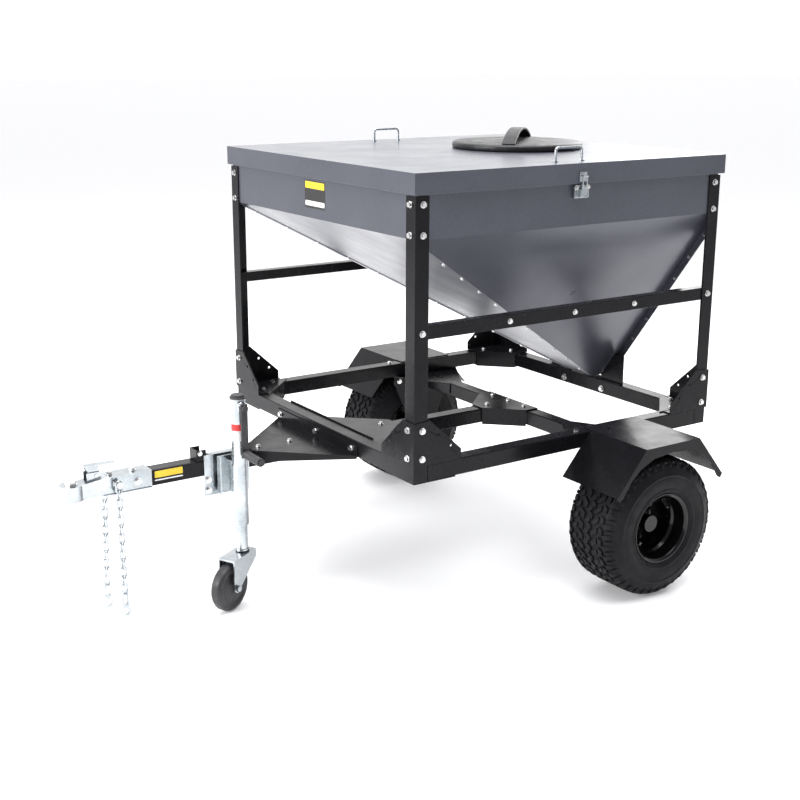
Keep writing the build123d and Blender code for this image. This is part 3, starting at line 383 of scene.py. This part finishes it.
for side, sy in (("left", 1), ("right", -1)):
    tyre(side, sy)
    # valve stem in the rim's outer well
    bm = bmesh.new()
    a = math.radians(118)
    prof = [(0.0, 0.0065), (0.004, 0.0065), (0.006, 0.0048), (0.022, 0.0042), (0.0225, 0.0034), (0.026, 0.0034), (0.027, 0.0046), (0.036, 0.0046), (0.0375, 0.003)]
    base = Vector((WX + 0.0885 * math.cos(a), sy * 0.748, WZ + 0.0885 * math.sin(a)))
    axis = Vector((-math.cos(a) * 0.55, sy * 0.83, -math.sin(a) * 0.55)).normalized()
    u = axis.orthogonal().normalized()
    v = axis.cross(u)
    rg = []
    for h, r in prof:
        rg.append([bm.verts.new(base + axis * h + (u * math.cos(t) + v * math.sin(t)) * r) for t in [2 * math.pi * k / 20 for k in range(20)]])
    for A, B in zip(rg, rg[1:]):
        for k in range(20):
            bm.faces.new((A[k], A[(k + 1) % 20], B[(k + 1) % 20], B[k]))
    bm.faces.new(rg[-1])
    bm.faces.new(list(reversed(rg[0])))
    obj_from(side + "_valve_stem", bm, M["caster_rubber"], "wheel_" + side)


# ---------------------------------------------------------------- blank labels
def plate(name, quad, nrm, t, mat, body, radius=0.003):
    """Thin sticker with rounded corners on a face; quad = centre, u (half width vector), v (half height vector)."""
    c, u, v = (Vector(q) for q in quad)
    bm = bmesh.new()
    pts = []
    ul, vl = u.length, v.length
    un, vn = u.normalized(), v.normalized()
    r = min(radius, ul * 0.45, vl * 0.45)
    for cx, cy, a0 in ((1, 1, 0), (-1, 1, 90), (-1, -1, 180), (1, -1, 270)):
        for k in range(5):
            a = math.radians(a0 + 22.5 * k)
            pts.append(c + un * (cx * (ul - r) + r * math.cos(a)) + vn * (cy * (vl - r) + r * math.sin(a)))
    lo = [bm.verts.new(p) for p in pts]
    hi = [bm.verts.new(p + Vector(nrm) * t) for p in pts]
    bm.faces.new(hi)
    bm.faces.new(list(reversed(lo)))
    n = len(pts)
    for k in range(n):
        bm.faces.new((lo[k], lo[(k + 1) % n], hi[(k + 1) % n], hi[k]))
    return obj_from(name, bm, mat, body, False)


def P(x, y, z):
    return Vector((x / 1000 - XC, y / 1000, z / 1000))


Yv, Zv, Xv = Vector((0, 1, 0)), Vector((0, 0, 1)), Vector((1, 0, 0))
plate("band_label_back", (P(598.05, 2.5, 1252), Yv * 0.0625, Zv * 0.043), Xv, 0.0003, LABEL["black"], "cart", 0.006)
plate("band_label_yellow", (P(598.35, 2.5, 1281), Yv * 0.0585, Zv * 0.0105), Xv, 0.0002, LABEL["yellow"], "cart")
plate("band_label_white", (P(598.35, 2.5, 1224), Yv * 0.0585, Zv * 0.0075), Xv, 0.0002, LABEL["white"], "cart")
plate("tongue_label_yellow", (P(1138, 25.45, 447), Xv * 0.046, Zv * 0.0105), Yv, 0.0003, LABEL["yellow"], "cart")
plate("tongue_label_white", (P(1138, 25.45, 429), Xv * 0.046, Zv * 0.0020), Yv, 0.0003, LABEL["white"], "cart")


def tube_band(name, cx, cy, r, z0, z1, a0, a1, mat, body, t=0.0003):
    """Sticker wrapped round part of a round column."""
    bm = bmesh.new()
    K = 28
    A = []
    for k in range(K + 1):
        a = math.radians(a0 + (a1 - a0) * k / K)
        c, s = math.cos(a), math.sin(a)
        A.append([bm.verts.new(P(cx + q * c, cy + q * s, z)) for q, z in ((r + 0.02, z0), (r + 0.02 + t * 1000, z0), (r + 0.02 + t * 1000, z1), (r + 0.02, z1))])
    for a, b in zip(A, A[1:]):
        for i in range(4):
            j = (i + 1) % 4
            bm.faces.new((a[i], a[j], b[j], b[i]))
    bm.faces.new(A[0])
    bm.faces.new(list(reversed(A[-1])))
    return obj_from(name, bm, mat, body, True)


JX, JY = 935, 100
tube_band("jack_label_white", JX, JY, 24, 537, 569.5, 0, 115, LABEL["white"], "jack_column")
tube_band("jack_label_red", JX, JY, 24, 570, 590, 0, 115, LABEL["red"], "jack_column")

# grooves round the crank grip
for k in range(7):
    bm = bmesh.new()
    y = 155 + k * 13
    K, prof = 32, [(12.45, -3.2), (13.3, -1.6), (13.5, 0), (13.3, 1.6), (12.45, 3.2), (12.2, 0)]
    R = [[bm.verts.new(P(JX + r * math.cos(2 * math.pi * i / K), y + d, 500 + r * math.sin(2 * math.pi * i / K))) for r, d in prof] for i in range(K)]
    for i in range(K):
        A, B = R[i], R[(i + 1) % K]
        for j in range(len(prof)):
            q = (j + 1) % len(prof)
            bm.faces.new((A[j], A[q], B[q], B[j]))
    obj_from("grip_rib_%d" % k, bm, M["grip_plastic"], "jack_crank")

# ---------------------------------------------------------------- floor and light
fm = bpy.data.materials.new("studio_floor")
fm.use_nodes = True
fb = fm.node_tree.nodes["Principled BSDF"]
fb.inputs["Base Color"].default_value = (0.90, 0.90, 0.905, 1)
fb.inputs["Roughness"].default_value = 0.45
fb.inputs["Specular IOR Level"].default_value = 0.35
bm = bmesh.new()
bmesh.ops.create_grid(bm, x_segments=2, y_segments=2, size=60)
fm.node_tree.nodes["Principled BSDF"].inputs["Emission Color"].default_value = (1, 1, 1, 1)
fm.node_tree.nodes["Principled BSDF"].inputs["Emission Strength"].default_value = 0.16
me = bpy.data.meshes.new("floor")
bm.to_mesh(me)
bm.free()
fl = bpy.data.objects.new("floor", me)
fl.location = (0, 0, -0.0005)
sc.collection.objects.link(fl)
me.materials.append(fm)

w = bpy.data.worlds.new("studio")
w.use_nodes = True
wt = w.node_tree
bgn = wt.nodes["Background"]
wc = N(wt, "ShaderNodeTexCoord")
wd = N(wt, "ShaderNodeVectorMath", operation="DOT_PRODUCT")
wt.links.new(wc.outputs["Generated"], wd.inputs[0])
wd.inputs[1].default_value = (-0.556, -0.831, 0.0)
wr = N(wt, "ShaderNodeValToRGB")
wr.color_ramp.elements[0].position = 0.0
wr.color_ramp.elements[0].color = (0.16, 0.16, 0.18, 1)
wr.color_ramp.elements[1].position = 1.0
wr.color_ramp.elements[1].color = (0.80, 0.80, 0.80, 1)
e = wr.color_ramp.elements.new(0.35)
e.color = (0.20, 0.20, 0.22, 1)
e = wr.color_ramp.elements.new(0.66)
e.color = (0.52, 0.52, 0.53, 1)
wm = N(wt, "ShaderNodeMapRange")
wm.inputs["From Min"].default_value = -1
wm.inputs["From Max"].default_value = 1
wt.links.new(wd.outputs["Value"], wm.inputs["Value"])
wt.links.new(wm.outputs["Result"], wr.inputs["Fac"])
wt.links.new(wr.outputs["Color"], bgn.inputs["Color"])
bgn.inputs["Strength"].default_value = 1.9
sc.world = w
sc.view_settings.view_transform = "Standard"
sc.view_settings.look = "None"


def area(name, loc, target, size, power, col=(1, 1, 1)):
    d = bpy.data.lights.new(name, "AREA")
    d.shape = "RECTANGLE"
    d.size, d.size_y = size
    d.energy = power
    d.color = col
    o = bpy.data.objects.new(name, d)
    o.location = loc
    o.rotation_euler = (Vector(target) - Vector(loc)).to_track_quat("-Z", "Y").to_euler()
    sc.collection.objects.link(o)
    return o


area("key_front", (4.6, -0.6, 2.3), (0, 0, 0.8), (3.2, 2.6), 230)
area("top", (0.2, 0.2, 4.8), (0, 0, 0.8), (5.0, 4.0), 420)
area("rear_fill", (-4.0, -1.5, 2.8), (0, 0, 0.8), (3.0, 2.4), 70)
